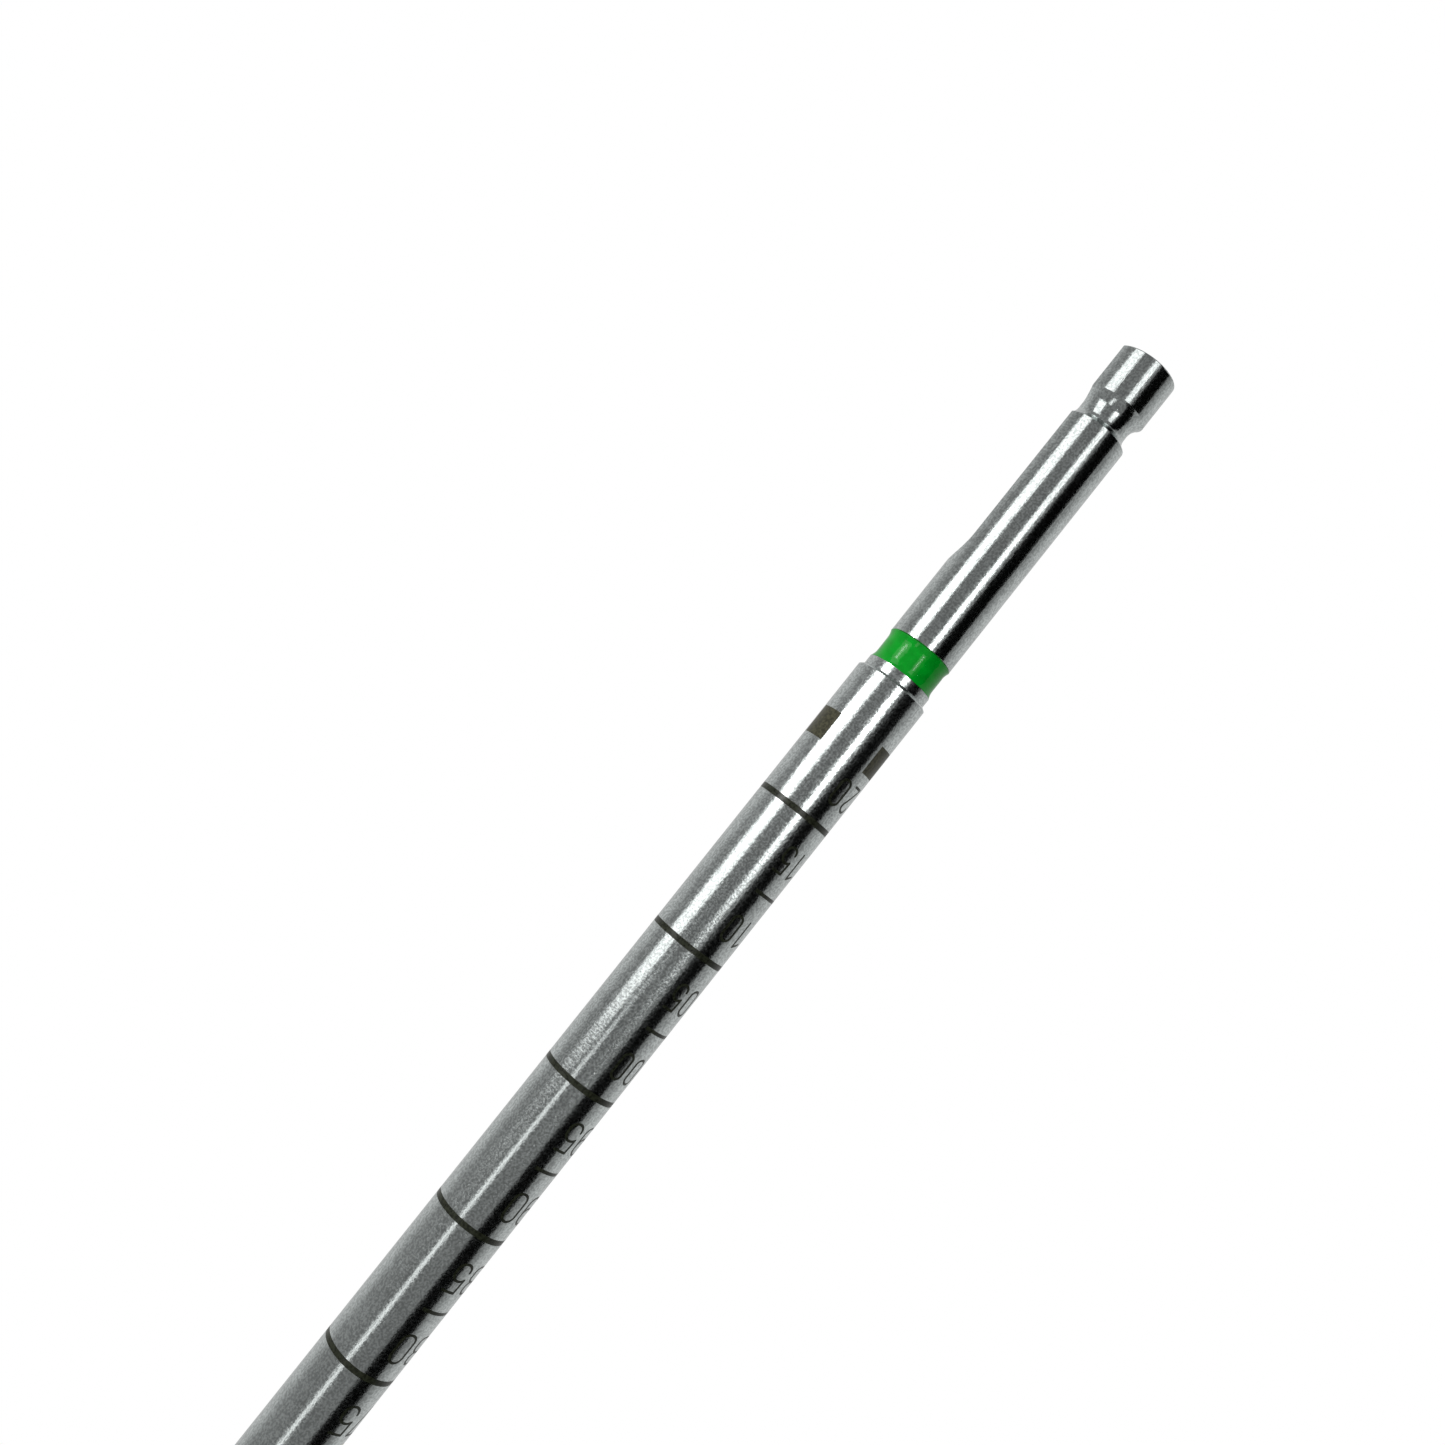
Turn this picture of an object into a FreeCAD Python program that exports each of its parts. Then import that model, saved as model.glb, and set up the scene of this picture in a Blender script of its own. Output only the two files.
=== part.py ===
import FreeCAD, Part
import math
import os

from FreeCAD import Placement, Rotation, Vector

# Graduated surgical drill bit with a flatted quick-coupling shank.
#
# Frame, in millimetres: the tool's axis is X. The origin is the centre of the coupling's end
# face and +X points out of it, so the whole tool lies at negative x. The depth scale faces -Y.
# The flat of the shank is on the +Y side, and leans a little below it.
#
# Every station below is a distance from the cutting tip, which is also what the depth scale
# reads: the ring marked 120 lies 120 mm from the tip.

# Stations along the tool
OVERALL_LENGTH = 153.9
FLUTE_END = 41.0
SHAFT_START = 46.0
SHAFT_END = 130.0
SHANK_START = 132.0
SHANK_END = 148.78
KNOB_START = 150.8

# Cutting end: a three-fluted twist drill
DRILL_RADIUS = 2.1
FLUTE_COUNT = 3
FLUTE_RADIUS = 1.15
FLUTE_OFFSET = 1.9
FLUTE_LEAD = 21.0
FLUTE_OVERRUN = 3.0
POINT_HALF_ANGLE = 60.0
DRILL_SPIGOT_RADIUS = 1.3
DRILL_SPIGOT_LENGTH = 6.0

# Shaft
SHAFT_RADIUS = 2.42
COLLAR_RADIUS = 2.17
COLLAR_LENGTH = 0.6
REAR_CHAMFER = 0.2

# Colour ring: an annulus with a waist, trapped between the shaft and the shank
RING_WAIST_RADIUS = 2.045
RING_FLARE_LENGTH = 0.5
NECK_RADIUS = 1.7

# Coupling shank
SHANK_RADIUS = 2.14
SHANK_SPIGOT_RADIUS = 1.4
SHANK_SPIGOT_LENGTH = 8.0
SHANK_EDGE = 0.08
FLAT_HEIGHT = 1.58
FLAT_LEAN = 12.0
FLAT_RUNOUT_START = 137.2
FLAT_RUNOUT_LENGTH = 2.2
GROOVE_RADIUS = 1.68
GROOVE_FLOOR_START = 149.55
GROOVE_FLOOR_END = 149.85
KNOB_EDGE = 0.1

# Depth scale: thin oxide fills, flush with the shaft
MARK_DEPTH = 0.04
MARK_SPILL = 0.1
SCALE_FIRST = 50
SCALE_LAST = 120
RING_STEP = 10
LABEL_STEP = 5
RING_WIDTH = 0.37
TICK_WIDTH = 0.22
TICK_FROM_ANGLE = 28.0
TICK_TO_ANGLE = 104.0
SQUARE_STATION = 125.0
SQUARE_SIDE = 1.93
SQUARE_ANGLES = (68.0, 186.0, 304.0)

# Numerals: single strokes with round ends, read towards +Z, their tops towards the tip.
# By number of figures: a figure's width and height, the angle between figures, the label's angle
LABEL_STYLES = {2: (1.08, 2.07, 33.0, 60.5), 3: (0.87, 1.87, 28.0, 65.0)}
NUMERAL_STROKE = 0.165
NUMERAL_OFFSET = 2.33
SMALL_LOOP_SHARE = 0.44
LARGE_LOOP_SHARE = 0.58
# Shares of a figure's half-width
CORNER_SHARE = 0.8
EIGHT_TOP_SHARE = 0.92
ONE_STEM_SHARE = 0.5
ONE_FLAG_SHARE = 0.75
SEVEN_FOOT_SHARE = 0.4
FIVE_STEM_SHARE = 0.85
FIVE_HOOK_DROP_SHARE = 0.35
FIVE_HOOK_MIDDLE_SHARES = (0.55, 0.08)
# Share of its half-height that the top of a five's bowl stands above its middle
FIVE_BOWL_TOP_SHARE = 0.2

# Points of a unit circle that the numerals' and edges' arcs use
COS_45 = math.cos(math.pi / 4)
COS_22 = math.cos(math.pi / 8)
SIN_22 = math.sin(math.pi / 8)


def x_at(station):
    """The x of a station given as a distance from the tip."""
    return station - OVERALL_LENGTH


def turned(outline):
    """A solid of revolution about X. The outline is a list of edges in the XY plane."""
    face = Part.Face(Part.Wire(outline))
    return face.revolve(Vector(0, 0, 0), Vector(1, 0, 0), 360)


def line(start, end):
    return Part.makeLine(Vector(start[0], start[1], 0), Vector(end[0], end[1], 0))


def arc(start, middle, end):
    points = [Vector(p[0], p[1], 0) for p in (start, middle, end)]
    return Part.Arc(*points).toShape()


def polyline(points):
    return [line(a, b) for a, b in zip(points, points[1:])]


def bar(start, end, radius):
    """A round bar on the axis between two stations."""
    return Part.makeCylinder(radius, end - start, Vector(x_at(start), 0, 0), Vector(1, 0, 0))


def scale_values(step):
    return range(SCALE_FIRST, SCALE_LAST + 1, step)


def flute_cutter():
    """One twisted round groove, with a ball end where the cutter leaves the bar."""
    start = x_at(-FLUTE_OVERRUN)
    length = FLUTE_END + FLUTE_OVERRUN
    spine = Part.Wire([Part.makeLine(Vector(0, 0, 0), Vector(0, 0, length))])
    guide = Part.Wire(Part.makeLongHelix(FLUTE_LEAD, length, FLUTE_OFFSET).Edges)
    sweep = Part.BRepOffsetAPI.MakePipeShell(spine)
    sweep.setAuxiliarySpine(guide, True, 0)
    sweep.add(Part.Wire([Part.makeCircle(FLUTE_RADIUS, Vector(FLUTE_OFFSET, 0, 0))]), False, False)
    sweep.build()
    sweep.makeSolid()
    end_turn = math.radians(360 * length / FLUTE_LEAD)
    end_centre = Vector(math.cos(end_turn), math.sin(end_turn), 0) * FLUTE_OFFSET
    ball = Part.makeSphere(FLUTE_RADIUS, end_centre + Vector(0, 0, length))
    cutter = sweep.shape().fuse(ball)
    cutter.Placement = Placement(Vector(start, 0, 0), Rotation(Vector(0, 1, 0), 90))
    return cutter


def fluted_drill_end():
    """The cutting end with its point, its flutes and the spigot that joins it to the shaft."""
    point_length = DRILL_RADIUS / math.tan(math.radians(POINT_HALF_ANGLE))
    spigot_end = SHAFT_START + DRILL_SPIGOT_LENGTH
    outline = polyline(
        [
            (x_at(0), 0),
            (x_at(point_length), DRILL_RADIUS),
            (x_at(SHAFT_START), DRILL_RADIUS),
            (x_at(SHAFT_START), DRILL_SPIGOT_RADIUS),
            (x_at(spigot_end), DRILL_SPIGOT_RADIUS),
            (x_at(spigot_end), 0),
            (x_at(0), 0),
        ]
    )
    drill = turned(outline)
    cutter = flute_cutter()
    for index in range(FLUTE_COUNT):
        groove = cutter.copy()
        groove.rotate(Vector(0, 0, 0), Vector(1, 0, 0), 360 / FLUTE_COUNT * index)
        drill = drill.cut(groove)
    return drill


def shaft_blank():
    """The plain shaft: a cone at the drill end, a chamfer and a narrow collar at the other."""
    front_chamfer = SHAFT_RADIUS - DRILL_RADIUS
    collar_start = SHAFT_END - COLLAR_LENGTH
    outline = polyline(
        [
            (x_at(SHAFT_START), 0),
            (x_at(SHAFT_START), DRILL_RADIUS),
            (x_at(SHAFT_START + front_chamfer), SHAFT_RADIUS),
            (x_at(collar_start - REAR_CHAMFER), SHAFT_RADIUS),
            (x_at(collar_start), COLLAR_RADIUS),
            (x_at(SHAFT_END), COLLAR_RADIUS),
            (x_at(SHAFT_END), 0),
            (x_at(SHAFT_START), 0),
        ]
    )
    blank = turned(outline)
    front_socket = bar(SHAFT_START, SHAFT_START + DRILL_SPIGOT_LENGTH, DRILL_SPIGOT_RADIUS)
    rear_socket = bar(SHAFT_END - SHANK_SPIGOT_LENGTH, SHAFT_END, SHANK_SPIGOT_RADIUS)
    return blank.cut([front_socket, rear_socket])


def colour_ring():
    """The green ring, with a shallow waist between two flared edges."""
    start, end = x_at(SHAFT_END), x_at(SHANK_START)
    waist_start, waist_end = start + RING_FLARE_LENGTH, end - RING_FLARE_LENGTH
    sag = COLLAR_RADIUS - RING_WAIST_RADIUS
    flare_radius = (RING_FLARE_LENGTH**2 + sag**2) / (2 * sag)
    half_turn = math.asin(RING_FLARE_LENGTH / flare_radius) / 2
    half_run = flare_radius * math.sin(half_turn)
    half_rise = flare_radius * (1 - math.cos(half_turn))
    middle_radius = RING_WAIST_RADIUS + half_rise
    outline = [
        arc(
            (start, COLLAR_RADIUS),
            (waist_start - half_run, middle_radius),
            (waist_start, RING_WAIST_RADIUS),
        ),
        line((waist_start, RING_WAIST_RADIUS), (waist_end, RING_WAIST_RADIUS)),
        arc(
            (waist_end, RING_WAIST_RADIUS),
            (waist_end + half_run, middle_radius),
            (end, COLLAR_RADIUS),
        ),
    ]
    outline += polyline(
        [(end, COLLAR_RADIUS), (end, NECK_RADIUS), (start, NECK_RADIUS), (start, COLLAR_RADIUS)]
    )
    return turned(outline)


def hollow_arc(top, foot):
    """A hollow quarter-like arc that falls from top and runs out level at foot."""
    run, drop = top[0] - foot[0], top[1] - foot[1]
    radius = (run**2 + drop**2) / (2 * drop)
    middle_rise = radius - math.sqrt(radius**2 - (run / 2) ** 2)
    return arc(top, (foot[0] + run / 2, foot[1] + middle_rise), foot)


def flat_cutter():
    """The metal milled off one side: a hollow run-out of the wheel, then a flat to the end."""
    start = x_at(FLAT_RUNOUT_START)
    end = start + FLAT_RUNOUT_LENGTH
    beyond = SHANK_RADIUS
    outline = [hollow_arc((start, SHANK_RADIUS), (end, FLAT_HEIGHT))]
    outline += polyline(
        [
            (end, FLAT_HEIGHT),
            (beyond, FLAT_HEIGHT),
            (beyond, 2 * SHANK_RADIUS),
            (start, 2 * SHANK_RADIUS),
            (start, SHANK_RADIUS),
        ]
    )
    face = Part.Face(Part.Wire(outline))
    face.translate(Vector(0, 0, -SHANK_RADIUS))
    cutter = face.extrude(Vector(0, 0, 2 * SHANK_RADIUS))
    cutter.rotate(Vector(0, 0, 0), Vector(1, 0, 0), -FLAT_LEAN)
    return cutter


def coupling_shank():
    """The quick-coupling end: spigot, neck, flatted shank, ball groove and end knob."""
    spigot_start = x_at(SHAFT_END - SHANK_SPIGOT_LENGTH)
    shaft_end, shank_start = x_at(SHAFT_END), x_at(SHANK_START)
    flat_start = x_at(FLAT_RUNOUT_START + FLAT_RUNOUT_LENGTH)
    shank_end, knob_start = x_at(SHANK_END), x_at(KNOB_START)
    floor_start, floor_end = x_at(GROOVE_FLOOR_START), x_at(GROOVE_FLOOR_END)
    edge_inset = KNOB_EDGE * (1 - COS_45)
    outline = polyline(
        [
            (spigot_start, 0),
            (spigot_start, SHANK_SPIGOT_RADIUS),
            (shaft_end, SHANK_SPIGOT_RADIUS),
            (shaft_end, NECK_RADIUS),
            (shank_start, NECK_RADIUS),
            (shank_start, SHANK_RADIUS - SHANK_EDGE),
            (shank_start + SHANK_EDGE, SHANK_RADIUS),
            (flat_start, SHANK_RADIUS),
            (shank_end, SHANK_RADIUS),
        ]
    )
    outline += [
        hollow_arc((shank_end, SHANK_RADIUS), (floor_start, GROOVE_RADIUS)),
        line((floor_start, GROOVE_RADIUS), (floor_end, GROOVE_RADIUS)),
        hollow_arc((knob_start, SHANK_RADIUS), (floor_end, GROOVE_RADIUS)),
        line((knob_start, SHANK_RADIUS), (-KNOB_EDGE, SHANK_RADIUS)),
        arc(
            (-KNOB_EDGE, SHANK_RADIUS),
            (-edge_inset, SHANK_RADIUS - edge_inset),
            (0, SHANK_RADIUS - KNOB_EDGE),
        ),
    ]
    outline += polyline([(0, SHANK_RADIUS - KNOB_EDGE), (0, 0), (spigot_start, 0)])
    return turned(outline).cut(flat_cutter())


def mark_band(centre, width):
    """A full ring of mark, from the floor of its recess to a little proud of the shaft."""
    start, end = centre - width / 2, centre + width / 2
    outer = bar(start, end, SHAFT_RADIUS + MARK_SPILL)
    return outer.cut(bar(start, end, SHAFT_RADIUS - MARK_DEPTH))


def mark_sector(centre, width, from_angle, to_angle):
    """The part of a band between two angles, counted about the axis from +Z towards -Y."""
    edge = Part.makePolygon([Vector(0, 0, 0), Vector(0, 0, 2 * SHAFT_RADIUS)])
    edge.rotate(Vector(0, 0, 0), Vector(1, 0, 0), from_angle)
    sheet = edge.revolve(Vector(0, 0, 0), Vector(1, 0, 0), to_angle - from_angle)
    wedge = sheet.extrude(Vector(width, 0, 0))
    wedge.translate(Vector(x_at(centre - width / 2), 0, 0))
    return mark_band(centre, width).common(wedge)


def oval(u, top, bottom):
    """A closed loop with round ends, 2u wide."""
    upper, lower = top - u, bottom + u
    return [
        arc((u, upper), (0, top), (-u, upper)),
        line((-u, upper), (-u, lower)),
        arc((-u, lower), (0, bottom), (u, lower)),
        line((u, lower), (u, upper)),
    ]


def flat_oval(u, top, bottom):
    """A closed loop with flat ends and round corners, for a loop about as wide as it is tall."""
    r = CORNER_SHARE * u
    inner = u - r
    outer = inner + r * COS_45
    upper, lower = top - r, bottom + r
    lift = r * COS_45
    return [
        arc((u, upper), (outer, upper + lift), (inner, top)),
        line((inner, top), (-inner, top)),
        arc((-inner, top), (-outer, upper + lift), (-u, upper)),
        line((-u, upper), (-u, lower)),
        arc((-u, lower), (-outer, lower - lift), (-inner, bottom)),
        line((-inner, bottom), (inner, bottom)),
        arc((inner, bottom), (outer, lower - lift), (u, lower)),
        line((u, lower), (u, upper)),
    ]


def one_strokes(u, v):
    stem = ONE_STEM_SHARE * u
    return [polyline([(-u, v - ONE_FLAG_SHARE * u), (stem, v), (stem, -v)])]


def two_strokes(u, v):
    centre = v - u
    turn = (u * COS_45, centre - u * COS_45)
    head = [
        arc((-u, centre), (0, v), (u, centre)),
        arc((u, centre), (u * COS_22, centre - u * SIN_22), turn),
    ]
    return [head + polyline([turn, (-u, -v), (u, -v)])]


def five_strokes(u, v):
    bowl_top = FIVE_BOWL_TOP_SHARE * v
    bowl_start = (-u, bowl_top - FIVE_HOOK_DROP_SHARE * u)
    hook_out, hook_down = FIVE_HOOK_MIDDLE_SHARES
    lower = u - v
    bowl = [
        arc(bowl_start, (-hook_out * u, bowl_top - hook_down * u), (0, bowl_top)),
        arc((0, bowl_top), (u * COS_45, bowl_top - u * (1 - COS_45)), (u, bowl_top - u)),
        line((u, bowl_top - u), (u, lower)),
        arc((u, lower), (0, -v), (-u, lower)),
    ]
    return [polyline([(u, v), (-FIVE_STEM_SHARE * u, v), bowl_start]) + bowl]


def six_strokes(u, v):
    centre = v - u
    loop_top = (2 * LARGE_LOOP_SHARE - 1) * v
    hook_end = (u * COS_45, centre + u * COS_45)
    tail = [
        line((-u, loop_top - u), (-u, centre)),
        arc((-u, centre), (-u * COS_45, centre + u * COS_45), (0, v)),
        arc((0, v), (u * SIN_22, centre + u * COS_22), hook_end),
    ]
    return [oval(u, loop_top, -v), tail]


def seven_strokes(u, v):
    return [polyline([(-u, v), (u, v), (-SEVEN_FOOT_SHARE * u, -v)])]


def eight_strokes(u, v):
    waist = (1 - 2 * SMALL_LOOP_SHARE) * v
    return [flat_oval(EIGHT_TOP_SHARE * u, v, waist), flat_oval(u, waist, -v)]


def stroke_face(chain):
    """A chain of centre lines drawn with a round pen."""
    wire = Part.Wire(chain)
    outline = Part.Face(wire.makeOffset2D(NUMERAL_STROKE / 2))
    if wire.isClosed():
        outline = outline.cut(Part.Face(wire.makeOffset2D(-NUMERAL_STROKE / 2)))
    return outline


def numeral_prism(chains):
    """One numeral as an upright prism, centred on Z and tall enough to pass the shaft's skin."""
    floor = SHAFT_RADIUS - MARK_DEPTH - MARK_SPILL
    height = MARK_DEPTH + 3 * MARK_SPILL
    prisms = []
    for chain in chains:
        face = stroke_face(chain)
        face.translate(Vector(0, 0, floor))
        prisms.append(face.extrude(Vector(0, 0, height)))
    joined = prisms[0].fuse(prisms[1:]) if len(prisms) > 1 else prisms[0]
    return joined.removeSplitter()


def numeral_prisms(width, height):
    """The figures that the scale needs, by character. A nine is a six upside down."""
    u = (width - NUMERAL_STROKE) / 2
    v = (height - NUMERAL_STROKE) / 2
    prisms = {
        "0": numeral_prism([oval(u, v, -v)]),
        "1": numeral_prism(one_strokes(u, v)),
        "2": numeral_prism(two_strokes(u, v)),
        "5": numeral_prism(five_strokes(u, v)),
        "6": numeral_prism(six_strokes(u, v)),
        "7": numeral_prism(seven_strokes(u, v)),
        "8": numeral_prism(eight_strokes(u, v)),
    }
    nine = prisms["6"].copy()
    nine.rotate(Vector(0, 0, 0), Vector(0, 0, 1), 180)
    prisms["9"] = nine
    return prisms


def placed_numeral(prism, station, angle):
    """A numeral stood on the shaft, its top towards the tip, read towards falling angles."""
    figure = prism.copy()
    figure.rotate(Vector(0, 0, 0), Vector(0, 0, 1), 90)
    figure.rotate(Vector(0, 0, 0), Vector(1, 0, 0), angle)
    figure.translate(Vector(x_at(station), 0, 0))
    return figure


def numeral_marks():
    styles = {}
    for count, (width, height, pitch, centre) in LABEL_STYLES.items():
        styles[count] = (numeral_prisms(width, height), height, pitch, centre)
    marks = []
    for value in scale_values(LABEL_STEP):
        text = str(value)
        prisms, height, pitch, centre = styles[len(text)]
        station = value + NUMERAL_OFFSET
        first_angle = centre + pitch * (len(text) - 1) / 2
        skin = mark_band(station, height + MARK_SPILL)
        for index, character in enumerate(text):
            figure = placed_numeral(prisms[character], station, first_angle - pitch * index)
            marks.append(skin.common(figure))
    return marks


def ring_marks():
    return [mark_band(value, RING_WIDTH) for value in scale_values(RING_STEP)]


def tick_marks():
    """Half-way ticks. Their edges towards the tip line up with the rings' own."""
    shift = (TICK_WIDTH - RING_WIDTH) / 2
    return [
        mark_sector(value + RING_STEP / 2 + shift, TICK_WIDTH, TICK_FROM_ANGLE, TICK_TO_ANGLE)
        for value in scale_values(RING_STEP)
        if value < SCALE_LAST
    ]


def square_marks():
    half_angle = math.degrees(SQUARE_SIDE / 2 / SHAFT_RADIUS)
    return [
        mark_sector(SQUARE_STATION, SQUARE_SIDE, angle - half_angle, angle + half_angle)
        for angle in SQUARE_ANGLES
    ]


def main():
    blank = shaft_blank()
    marks = {
        "ten_mm_rings": ring_marks(),
        "five_mm_ticks": tick_marks(),
        "depth_numerals": numeral_marks(),
        "square_marks": square_marks(),
    }
    every_mark = [mark for group in marks.values() for mark in group]
    parts = {
        "graduated_shaft": blank.cut(every_mark),
        "fluted_drill_end": fluted_drill_end(),
        "colour_code_ring": colour_ring(),
        "coupling_shank": coupling_shank(),
    }
    for name, group in marks.items():
        parts[name] = Part.makeCompound([blank.common(mark) for mark in group])
    os.makedirs("parts", exist_ok=True)
    for name, shape in parts.items():
        shape.exportStep(f"parts/{name}.step")


main()
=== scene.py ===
import math

import bmesh
import bpy
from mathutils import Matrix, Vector, noise


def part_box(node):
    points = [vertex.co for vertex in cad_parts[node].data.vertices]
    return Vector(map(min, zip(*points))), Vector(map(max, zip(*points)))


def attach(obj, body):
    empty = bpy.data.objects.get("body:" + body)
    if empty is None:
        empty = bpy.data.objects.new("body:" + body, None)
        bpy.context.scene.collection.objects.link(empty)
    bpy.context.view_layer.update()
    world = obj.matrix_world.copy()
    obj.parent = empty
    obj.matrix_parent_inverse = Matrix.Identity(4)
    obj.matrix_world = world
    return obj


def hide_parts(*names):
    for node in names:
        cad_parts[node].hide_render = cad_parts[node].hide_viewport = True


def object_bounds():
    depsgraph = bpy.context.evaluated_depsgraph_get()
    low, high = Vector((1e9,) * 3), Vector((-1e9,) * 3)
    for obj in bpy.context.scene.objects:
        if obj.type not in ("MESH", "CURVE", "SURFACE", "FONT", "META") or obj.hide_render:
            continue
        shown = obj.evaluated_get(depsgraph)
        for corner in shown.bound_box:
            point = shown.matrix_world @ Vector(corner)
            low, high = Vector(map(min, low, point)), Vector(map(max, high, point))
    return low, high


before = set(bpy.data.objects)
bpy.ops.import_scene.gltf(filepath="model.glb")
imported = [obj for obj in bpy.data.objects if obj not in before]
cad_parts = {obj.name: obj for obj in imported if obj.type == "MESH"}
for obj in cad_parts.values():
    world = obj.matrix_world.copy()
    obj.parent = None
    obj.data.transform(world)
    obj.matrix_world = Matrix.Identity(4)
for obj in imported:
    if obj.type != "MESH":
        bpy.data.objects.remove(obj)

# A graduated surgical drill bit lying on a white table, lit by softboxes.
# Row frame, in metres: X is the tool's axis and points out of the coupling, Z is up, the depth
# scale faces -Y and the shank's flat is on the +Y side.

MM = 0.001

cad_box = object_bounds()


# ---------------------------------------------------------------- reference places

RING_MARK_WIDTH = 0.37 * MM
scale_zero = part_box("ten_mm_rings")[1].x - RING_MARK_WIDTH / 2
floor_height = cad_box[0].z


# ---------------------------------------------------------------- camera

CAMERA_FROM_SCALE_ZERO = Vector((-3.6, 0.041, 89.09)) * MM
CAMERA_TURN_DEG = (5.086, 1.267, -51.311)
CAMERA_LENS_MM = 37.561
CAMERA_SENSOR_MM = 36.0


def make_camera():
    camera_data = bpy.data.cameras.new("camera")
    camera_data.lens = CAMERA_LENS_MM
    camera_data.sensor_width = CAMERA_SENSOR_MM
    camera_data.clip_start = 1 * MM
    camera_data.clip_end = 20.0
    camera = bpy.data.objects.new("camera", camera_data)
    bpy.context.scene.collection.objects.link(camera)
    camera.location = Vector((scale_zero, 0, 0)) + CAMERA_FROM_SCALE_ZERO
    camera.rotation_euler = [math.radians(a) for a in CAMERA_TURN_DEG]
    bpy.context.scene.camera = camera


# ---------------------------------------------------------------- node helpers


class Graph:
    """Short calls for building a node tree."""

    def __init__(self, tree):
        self.tree = tree
        self.tree.nodes.clear()

    def node(self, kind, **settings):
        made = self.tree.nodes.new(kind)
        for name, value in settings.items():
            setattr(made, name, value)
        return made

    def link(self, source, target):
        self.tree.links.new(source, target)

    def feed(self, socket, value):
        if isinstance(value, bpy.types.NodeSocket):
            self.link(value, socket)
        else:
            socket.default_value = value

    def math(self, operation, a, b=0.0, c=0.0):
        made = self.node("ShaderNodeMath", operation=operation)
        for socket, value in zip(made.inputs, (a, b, c)):
            self.feed(socket, value)
        return made.outputs[0]

    def step(self, value, low, high):
        """Goes smoothly from 0 at low to 1 at high."""
        made = self.node("ShaderNodeMapRange", interpolation_type="SMOOTHSTEP", clamp=True)
        self.feed(made.inputs["Value"], value)
        self.feed(made.inputs["From Min"], low)
        self.feed(made.inputs["From Max"], high)
        return made.outputs[0]

    def mix(self, factor, a, b, blend="MIX"):
        made = self.node("ShaderNodeMix", data_type="RGBA", blend_type=blend)
        self.feed(made.inputs[0], factor)
        self.feed(made.inputs[6], a)
        self.feed(made.inputs[7], b)
        return made.outputs[2]

    def ramp(self, value, stops, interpolation="LINEAR"):
        """A colour ramp. The stops are (position, grey) or (position, (r, g, b))."""
        made = self.node("ShaderNodeValToRGB")
        self.feed(made.inputs[0], value)
        elements = made.color_ramp.elements
        made.color_ramp.interpolation = interpolation
        while len(elements) < len(stops):
            elements.new(1.0)
        for element, (position, colour) in zip(elements, stops):
            element.position = position
            rgb = colour if isinstance(colour, tuple) else (colour,) * 3
            element.color = (*rgb, 1.0)
        return made.outputs[0]


# ---------------------------------------------------------------- stage helpers


def glowing_material(name, strength):
    material = bpy.data.materials.new(name)
    material.use_nodes = True
    graph = Graph(material.node_tree)
    glow = graph.node("ShaderNodeEmission")
    glow.inputs["Strength"].default_value = strength
    output = graph.node("ShaderNodeOutputMaterial")
    graph.link(glow.outputs[0], output.inputs["Surface"])
    return material


def only_seen_by_camera(obj):
    for kind in ("diffuse", "glossy", "transmission", "volume_scatter", "shadow"):
        setattr(obj, f"visible_{kind}", False)


# ---------------------------------------------------------------- studio light
#
# Long softboxes hang parallel to the tool, two small lamps sit in them, and a black flag stands
# on the scale's side. "round" is the angle about the tool's axis from straight up, in degrees,
# positive towards the scale's side. "along" is the distance from the scale's zero towards the
# coupling. "glow" is how bright the face is, where 1 is white.

LIGHT_DISTANCE = 0.6
FLAG_DISTANCE = 0.5

SOFTBOXES = {
    "flat_side_box": {"round": -50, "width": 0.35, "along": 0.25, "length": 0.70, "glow": 1.3},
    "scale_side_box": {"round": 20, "width": 0.18, "along": 0.25, "length": 0.55, "glow": 1.3},
    "tip_box": {"round": -20, "width": 0.10, "along": -0.45, "length": 0.70, "glow": 1.2},
    "flat_side_lamp": {"round": -50, "width": 0.10, "along": 0.10, "length": 0.08, "glow": 50},
    "scale_side_lamp": {"round": 20, "width": 0.04, "along": 0.10, "length": 0.08, "glow": 50},
}
FLAG = {"round": 60, "width": 0.40, "along": 0.0, "length": 2.4}

# A pale floor below, a dim wall at the horizon and a dim ceiling above
FLOOR_TONE = 0.6
WALL_TONE = 0.3
CEILING_TONE = 0.2


def place_panel(obj, round_deg, distance, along):
    """Puts a panel beside the tool, long side along it and face towards it."""
    turn = math.radians(round_deg)
    ray = Vector((0, -math.sin(turn), math.cos(turn)))
    obj.location = Vector((scale_zero + along, 0, 0)) + ray * distance
    obj.rotation_euler = (turn, 0, 0)


def make_softbox(name, spec):
    light = bpy.data.lights.new(name, "AREA")
    light.shape = "RECTANGLE"
    light.size = spec["length"]
    light.size_y = spec["width"]
    light.energy = spec["glow"] * math.pi * spec["length"] * spec["width"]
    box = bpy.data.objects.new(name, light)
    bpy.context.scene.collection.objects.link(box)
    box.visible_camera = False
    place_panel(box, spec["round"], LIGHT_DISTANCE, spec["along"])


def make_flag():
    bpy.ops.mesh.primitive_plane_add(size=1)
    flag = bpy.context.object
    flag.name = "black_flag"
    flag.scale = (FLAG["length"], FLAG["width"], 1)
    flag.data.materials.append(glowing_material("black_cloth", 0.0))
    flag.visible_camera = False
    flag.visible_shadow = False
    place_panel(flag, FLAG["round"], FLAG_DISTANCE, FLAG["along"])


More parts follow.
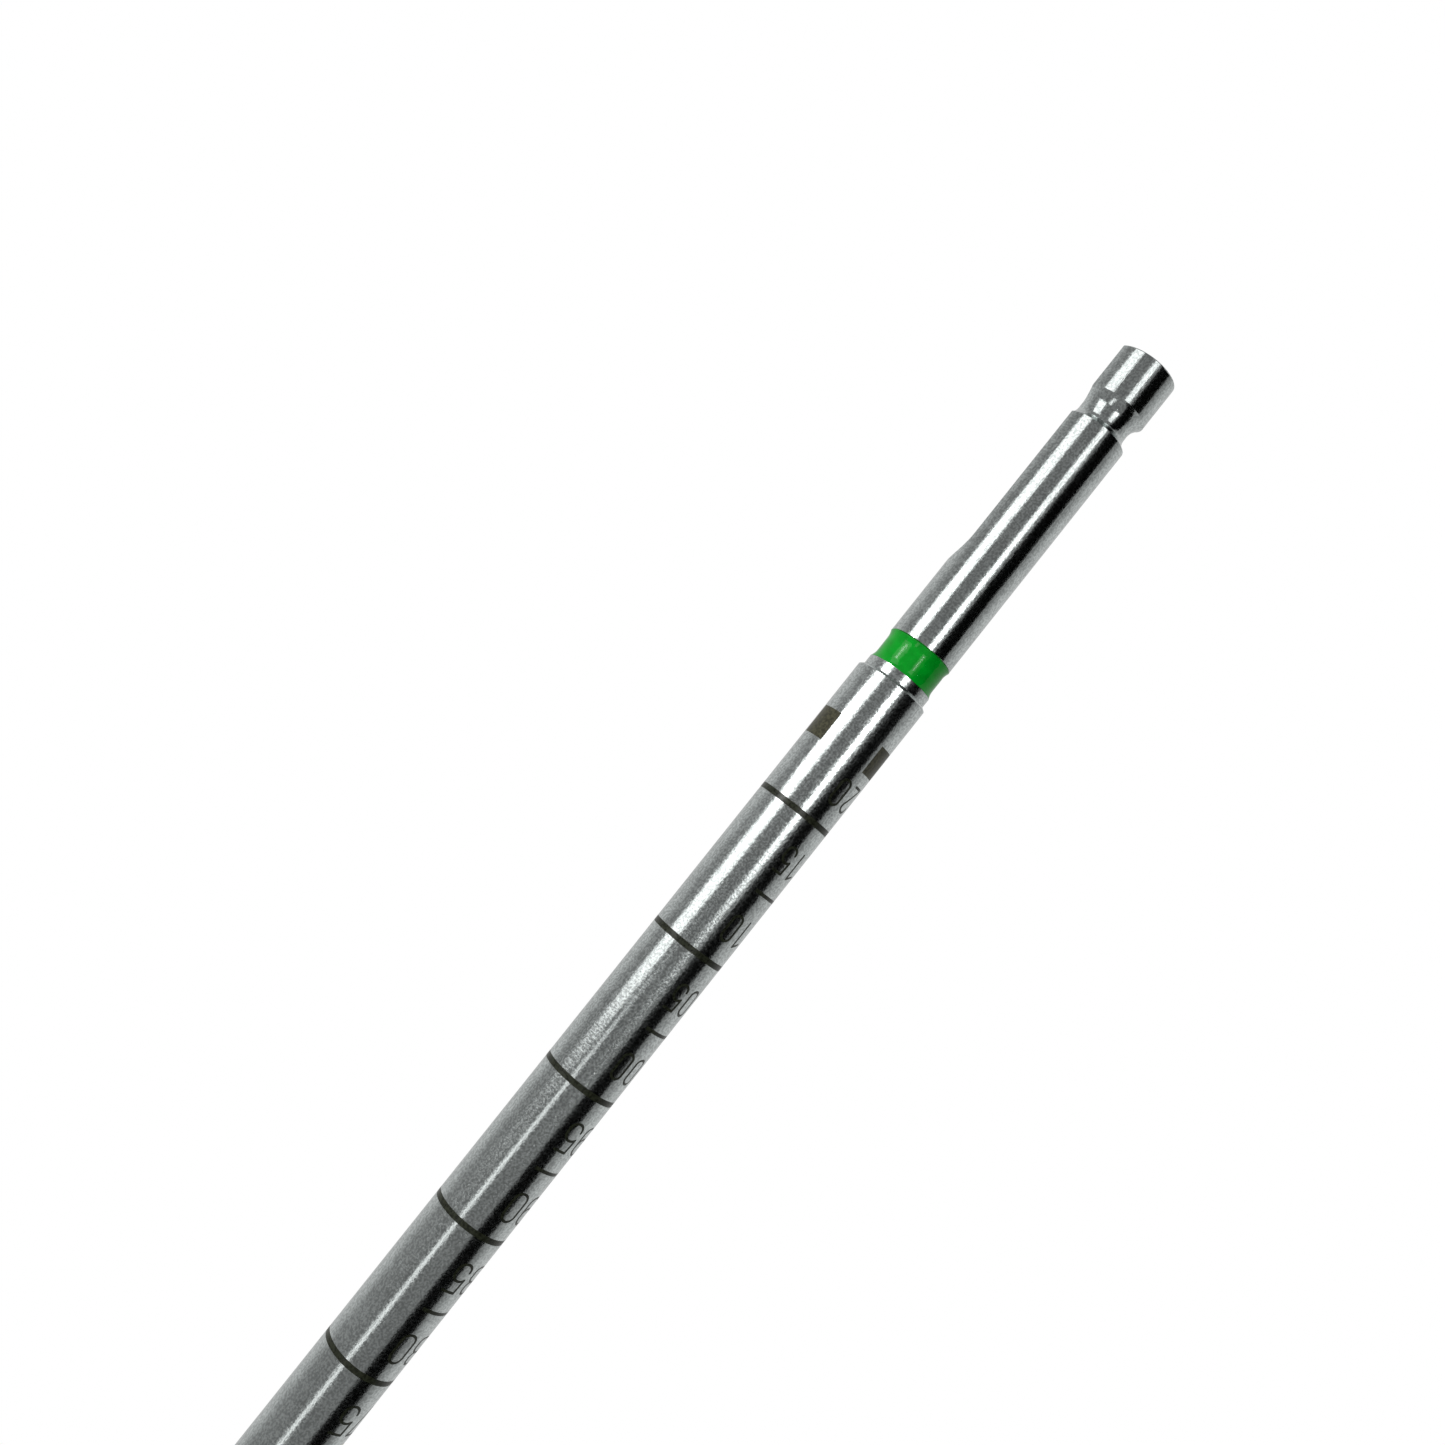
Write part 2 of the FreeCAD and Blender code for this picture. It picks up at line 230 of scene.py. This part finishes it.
def make_world():
    world = bpy.data.worlds.new("studio")
    bpy.context.scene.world = world
    world.use_nodes = True
    graph = Graph(world.node_tree)
    coords = graph.node("ShaderNodeTexCoord")
    split = graph.node("ShaderNodeSeparateXYZ")
    graph.link(coords.outputs["Generated"], split.inputs[0])
    height = graph.math("MULTIPLY_ADD", split.outputs["Z"], 0.5, 0.5)
    tones = [(0.25, FLOOR_TONE), (0.5, WALL_TONE), (1.0, CEILING_TONE)]
    room = graph.node("ShaderNodeBackground")
    graph.link(graph.ramp(height, tones), room.inputs["Color"])
    output = graph.node("ShaderNodeOutputWorld")
    graph.link(room.outputs[0], output.inputs["Surface"])


# ---------------------------------------------------------------- table and backdrop

BACKDROP_RADIUS = 4.0
TABLE_HALF = 3.9


def make_stage():
    """A white table and backdrop for the camera. The steel reflects the room instead."""
    bpy.ops.mesh.primitive_plane_add(size=2 * TABLE_HALF, location=(scale_zero, 0, floor_height))
    table = bpy.context.object
    table.name = "table"
    bpy.ops.mesh.primitive_uv_sphere_add(radius=BACKDROP_RADIUS, segments=48, ring_count=24)
    backdrop = bpy.context.object
    backdrop.name = "backdrop"
    for obj in (table, backdrop):
        obj.data.materials.append(glowing_material(f"white_{obj.name}", 1.0))
        only_seen_by_camera(obj)


# ---------------------------------------------------------------- materials


def principled(name):
    material = bpy.data.materials.new(name)
    material.use_nodes = True
    graph = Graph(material.node_tree)
    shader = graph.node("ShaderNodeBsdfPrincipled")
    output = graph.node("ShaderNodeOutputMaterial")
    graph.link(shader.outputs[0], output.inputs["Surface"])
    return material, graph, shader


def grain(graph, size, detail=2.0, stretch=(1, 1, 1), turn_deg=(0, 0, 0)):
    """Noise whose features are about the given size. A stretch makes them longer along an axis."""
    coords = graph.node("ShaderNodeTexCoord")
    mapping = graph.node("ShaderNodeMapping")
    graph.link(coords.outputs["Object"], mapping.inputs["Vector"])
    mapping.inputs["Scale"].default_value = [1 / s for s in stretch]
    mapping.inputs["Rotation"].default_value = [math.radians(a) for a in turn_deg]
    texture = graph.node("ShaderNodeTexNoise")
    graph.link(mapping.outputs[0], texture.inputs["Vector"])
    texture.inputs["Scale"].default_value = 1 / size
    texture.inputs["Detail"].default_value = detail
    return texture.outputs["Fac"]


def bump(graph, height, distance, normal=None):
    made = graph.node("ShaderNodeBump")
    made.inputs["Strength"].default_value = 1.0
    made.inputs["Distance"].default_value = distance
    graph.link(height, made.inputs["Height"])
    if normal:
        graph.link(normal, made.inputs["Normal"])
    return made.outputs[0]


STEEL_TINT = (0.94, 1.0, 0.985)
SCRATCH_TURNS_DEG = (35, -62)
PIT_DEPTH = 0.0006 * MM


def steel(name, tone, roughness, speckle, grain_depth, drawn_depth):
    """Bright ground steel: speckled grain, scattered pits, drawn lines and a few scratches."""
    material, graph, shader = principled(name)
    shader.inputs["Metallic"].default_value = 1.0
    fine = grain(graph, 0.14 * MM, 2.0)
    pits = graph.step(grain(graph, 0.20 * MM, 1.0), 0.70, 0.76)
    drawn = grain(graph, 0.06 * MM, 2.0, stretch=(60, 1, 1))
    turned = grain(graph, 0.05 * MM, 2.0, stretch=(1, 50, 50))
    stains = grain(graph, 1.3 * MM, 4.0)
    slants = [
        grain(graph, 0.03 * MM, 0.0, stretch=(1, 90, 1), turn_deg=(0, 0, turn))
        for turn in SCRATCH_TURNS_DEG
    ]
    scratches = graph.math("MAXIMUM", *[graph.step(slant, 0.74, 0.78) for slant in slants])

    low = tuple(c * tone * 0.93 for c in STEEL_TINT)
    high = tuple(c * tone * 1.04 for c in STEEL_TINT)
    base = graph.ramp(stains, [(0.32, low), (0.62, high)])
    for texture, spread in ((fine, speckle), (turned, 0.05), (drawn, 0.08)):
        shade = graph.ramp(texture, [(0.42, 1 - spread), (0.58, 1.0)])
        base = graph.mix(1.0, base, shade, "MULTIPLY")
    graph.link(base, shader.inputs["Base Color"])
    dull = graph.ramp(fine, [(0.3, roughness * 0.8), (0.7, roughness * 1.3)])
    graph.link(dull, shader.inputs["Roughness"])

    normal = bump(graph, fine, grain_depth)
    normal = bump(graph, drawn, drawn_depth, normal)
    normal = bump(graph, graph.math("MAXIMUM", pits, scratches), -PIT_DEPTH, normal)
    graph.link(normal, shader.inputs["Normal"])
    return material


def oxide(name, tone, roughness, hatch_depth):
    """Laser-darkened steel: a dull dark oxide film, finely hatched along the tool."""
    material, graph, shader = principled(name)
    shader.inputs["Specular IOR Level"].default_value = 0.30
    mottle = grain(graph, 0.16 * MM, 3.0)
    hatch = grain(graph, 0.08 * MM, 1.0, stretch=(30, 1, 1))
    low = tuple(c * 0.60 for c in tone)
    high = tuple(c * 1.40 for c in tone)
    graph.link(graph.ramp(mottle, [(0.40, low), (0.60, high)]), shader.inputs["Base Color"])
    dull = graph.ramp(mottle, [(0.3, roughness), (0.7, roughness + 0.12)])
    graph.link(dull, shader.inputs["Roughness"])
    normal = bump(graph, hatch, hatch_depth)
    graph.link(bump(graph, mottle, 0.003 * MM, normal), shader.inputs["Normal"])
    return material


def enamel(name, tone):
    """Glossy coating, pooled a little unevenly."""
    material, graph, shader = principled(name)
    shader.inputs["Roughness"].default_value = 0.06
    shader.inputs["IOR"].default_value = 1.40
    flow = grain(graph, 0.55 * MM, 2.0)
    dust = graph.step(grain(graph, 0.09 * MM, 1.0), 0.68, 0.76)
    low = tuple(c * 0.86 for c in tone)
    high = tuple(c * 1.12 for c in tone)
    graph.link(graph.ramp(flow, [(0.3, low), (0.7, high)]), shader.inputs["Base Color"])
    normal = bump(graph, flow, 0.012 * MM)
    graph.link(bump(graph, dust, 0.004 * MM, normal), shader.inputs["Normal"])
    return material


# ---------------------------------------------------------------- the enamelled ring

RING_SEGMENTS = 256
RING_ROWS = 40
RING_SAG = 0.125 * MM
RING_FLARE = 0.5 * MM
RING_BORE_RADIUS = 1.7 * MM
RING_EDGE = 0.03 * MM
RING_UNEVENNESS = 0.014 * MM
RING_POOL_SIZE = 0.9 * MM


def enamel_ring_radius(inset, outer):
    """The ring's outer radius, by distance from its nearer end: rounded edge, flare, waist."""
    flare = max(0.0, 1 - inset / RING_FLARE) ** 2
    edge = max(0.0, 1 - inset / RING_EDGE) ** 2
    return outer - RING_SAG * (1 - flare) - RING_EDGE * edge


def make_enamel_ring(material):
    low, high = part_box("colour_code_ring")
    outer = high.y
    length = high.x - low.x
    rows = []
    for index in range(RING_ROWS + 1):
        # Cosine spacing puts more rows near the two flared ends
        along = (1 - math.cos(math.pi * index / RING_ROWS)) / 2 * length
        inset = min(along, length - along)
        rows.append((low.x + along, enamel_ring_radius(inset, outer), min(1.0, inset / RING_FLARE)))
    mesh = bmesh.new()
    loops = [bore_loop(mesh, low.x)]
    for x, radius, freedom in rows:
        loop = []
        for segment in range(RING_SEGMENTS):
            angle = 2 * math.pi * segment / RING_SEGMENTS
            ray = Vector((0, math.cos(angle), math.sin(angle)))
            wave = noise.noise((Vector((x, 0, 0)) + ray * radius) / RING_POOL_SIZE)
            lift = freedom * RING_UNEVENNESS * wave
            loop.append(mesh.verts.new(Vector((x, 0, 0)) + ray * (radius + lift)))
        loops.append(loop)
    loops.append(bore_loop(mesh, high.x))
    for first, second in zip(loops, loops[1:] + loops[:1]):
        for a, b, c, d in zip(first, second, second[1:] + second[:1], first[1:] + first[:1]):
            mesh.faces.new((a, b, c, d))
    bmesh.ops.recalc_face_normals(mesh, faces=mesh.faces)
    data = bpy.data.meshes.new("enamel_ring")
    mesh.to_mesh(data)
    mesh.free()
    data.shade_smooth()
    data.set_sharp_from_angle(angle=math.radians(50))
    ring = bpy.data.objects.new("enamel_ring", data)
    bpy.context.scene.collection.objects.link(ring)
    ring.data.materials.append(material)
    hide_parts("colour_code_ring")
    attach(ring, "root")


def bore_loop(mesh, x):
    turns = [2 * math.pi * segment / RING_SEGMENTS for segment in range(RING_SEGMENTS)]
    return [
        mesh.verts.new((x, RING_BORE_RADIUS * math.cos(a), RING_BORE_RADIUS * math.sin(a)))
        for a in turns
    ]


# ---------------------------------------------------------------- carried-over CAD nodes


def dress_cad_nodes():
    mark = oxide("laser_mark", (0.020, 0.023, 0.013), 0.24, 0.001 * MM)
    looks = {
        "graduated_shaft": steel("shaft_steel", 0.78, 0.16, 0.30, 0.0058 * MM, 0.0006 * MM),
        "fluted_drill_end": steel("cutting_steel", 0.76, 0.14, 0.28, 0.0050 * MM, 0.0010 * MM),
        "coupling_shank": steel("shank_steel", 0.78, 0.12, 0.30, 0.0038 * MM, 0.0018 * MM),
        "square_marks": oxide("square_mark", (0.058, 0.056, 0.032), 0.30, 0.002 * MM),
        "ten_mm_rings": mark,
        "five_mm_ticks": mark,
        "depth_numerals": mark,
    }
    for node, material in looks.items():
        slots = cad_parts[node].data.materials
        slots.clear()
        slots.append(material)


bpy.context.scene.view_settings.view_transform = "Standard"
make_camera()
make_world()
for name, spec in SOFTBOXES.items():
    make_softbox(name, spec)
make_stage()
make_flag()
make_enamel_ring(enamel("green_enamel", (0.0, 0.36, 0.018)))
dress_cad_nodes()
